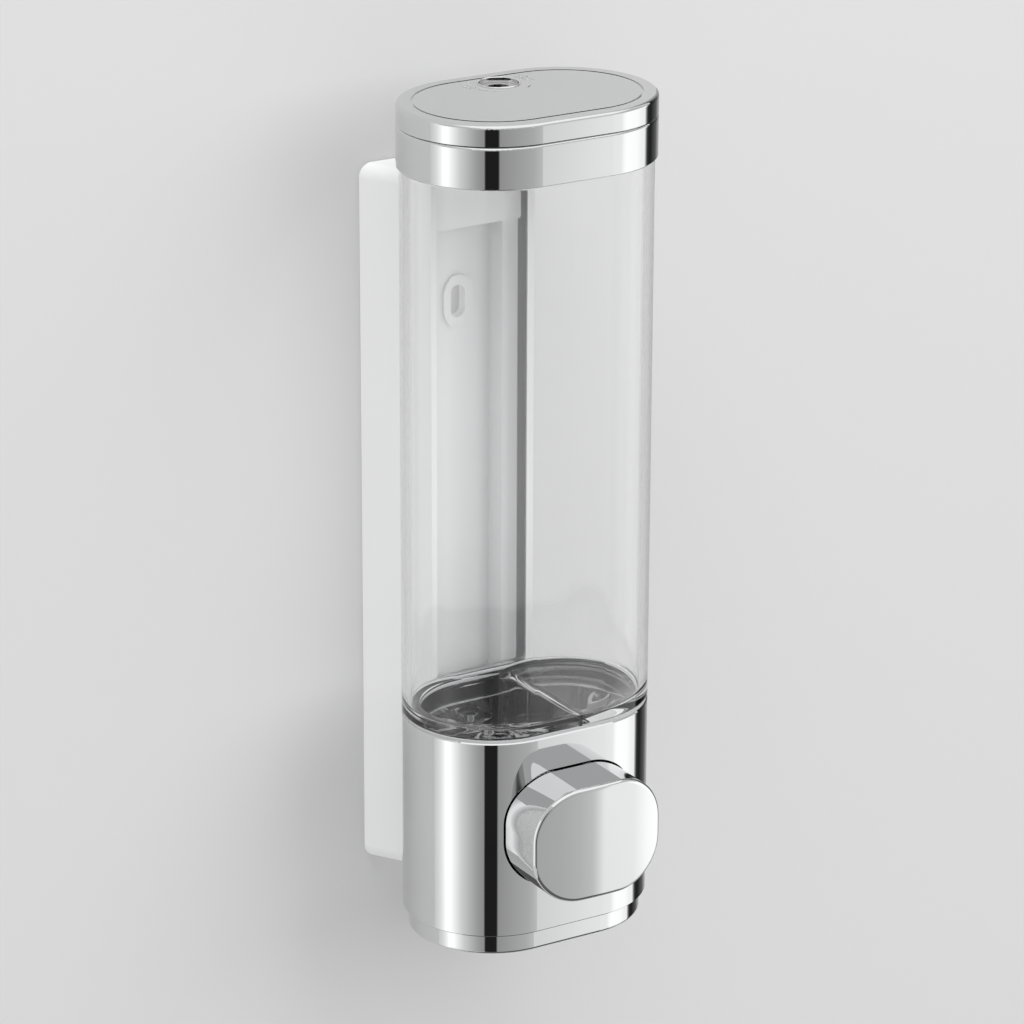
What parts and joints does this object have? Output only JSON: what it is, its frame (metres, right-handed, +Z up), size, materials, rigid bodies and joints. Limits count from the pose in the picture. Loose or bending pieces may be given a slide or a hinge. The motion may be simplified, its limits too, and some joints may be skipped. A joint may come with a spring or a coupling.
{
  "type": "wall mounted soap dispenser",
  "caption": "Oval wall mounted soap dispenser: clear tank between a chrome push-button pump housing and a locking chrome lid, hung on a white wall bracket.",
  "frame": {"origin": "on the wall face, midway between the bracket's two screw slots", "axes": "+Z up, +Y into the wall, -Y towards the user, X across with X = 0 the plane of symmetry"},
  "size_m": [0.0754, 0.0859, 0.2453],
  "materials": {
    "chrome_plate": "mirror bright chrome plate on ABS",
    "white_plastic": "satin white ABS",
    "clear_plastic": "clear polished plastic",
    "grey_plastic": "moulded grey acetal",
    "dark_plastic": "moulded black plastic",
    "natural_plastic": "natural polypropylene",
    "silicone": "translucent silicone",
    "dark_rubber": "black rubber",
    "steel": "bright stainless steel",
    "lock_metal": "nickel plated zinc"
  },
  "bodies": {
    "bracket": {"wall_bracket": "white_plastic"},
    "dispenser": {"housing": "chrome_plate", "base_ring": "chrome_plate", "base_plate": "grey_plastic", "pump_frame": "dark_plastic", "pump_body": "natural_plastic", "cylinder_cap": "grey_plastic", "inlet_valve": "silicone", "outlet_valve": "silicone", "outlet_duct": "natural_plastic", "nozzle": "grey_plastic", "tank": "clear_plastic", "rim_gasket": "silicone", "tank_gasket": "dark_rubber", "button_guide": "dark_plastic", "collar": "chrome_plate", "hanger_hook": "white_plastic", "hook_screws": "steel", "base_screws": "steel", "pump_screws": "steel"},
    "button": {"button_cap": "chrome_plate", "button_carrier": "grey_plastic", "piston": "natural_plastic", "piston_seal": "dark_rubber", "carrier_screw": "steel", "return_spring": "steel"},
    "lid": {"lid": "chrome_plate", "lid_liner": "grey_plastic", "lid_seal": "silicone", "liner_screws": "steel", "lock_sleeve": "lock_metal", "lock_nut": "steel"},
    "lock": {"lock_plug": "lock_metal", "lock_cam": "steel", "cam_screw": "steel"}
  },
  "joints": [
    {"name": "dispenser_lift", "type": "slide", "parent": "bracket", "child": "dispenser", "axis": [0, 0, 1], "range_m": [0, 0.012]},
    {"name": "button_push", "type": "slide", "parent": "dispenser", "child": "button", "axis": [0, 1, 0], "range_m": [0, 0.007], "stiffness_N_per_m": 900, "springref_m": -0.003, "deforming": ["return_spring"]},
    {"name": "lid_lift", "type": "slide", "parent": "dispenser", "child": "lid", "axis": [0, 0, 1], "range_m": [0, 0.06]},
    {"name": "lock_turn", "type": "hinge", "parent": "lid", "child": "lock", "pos_m": [0, -0.0285, 0.12725], "axis": [0, 0, 1], "range_deg": [0, 90]}
  ]
}
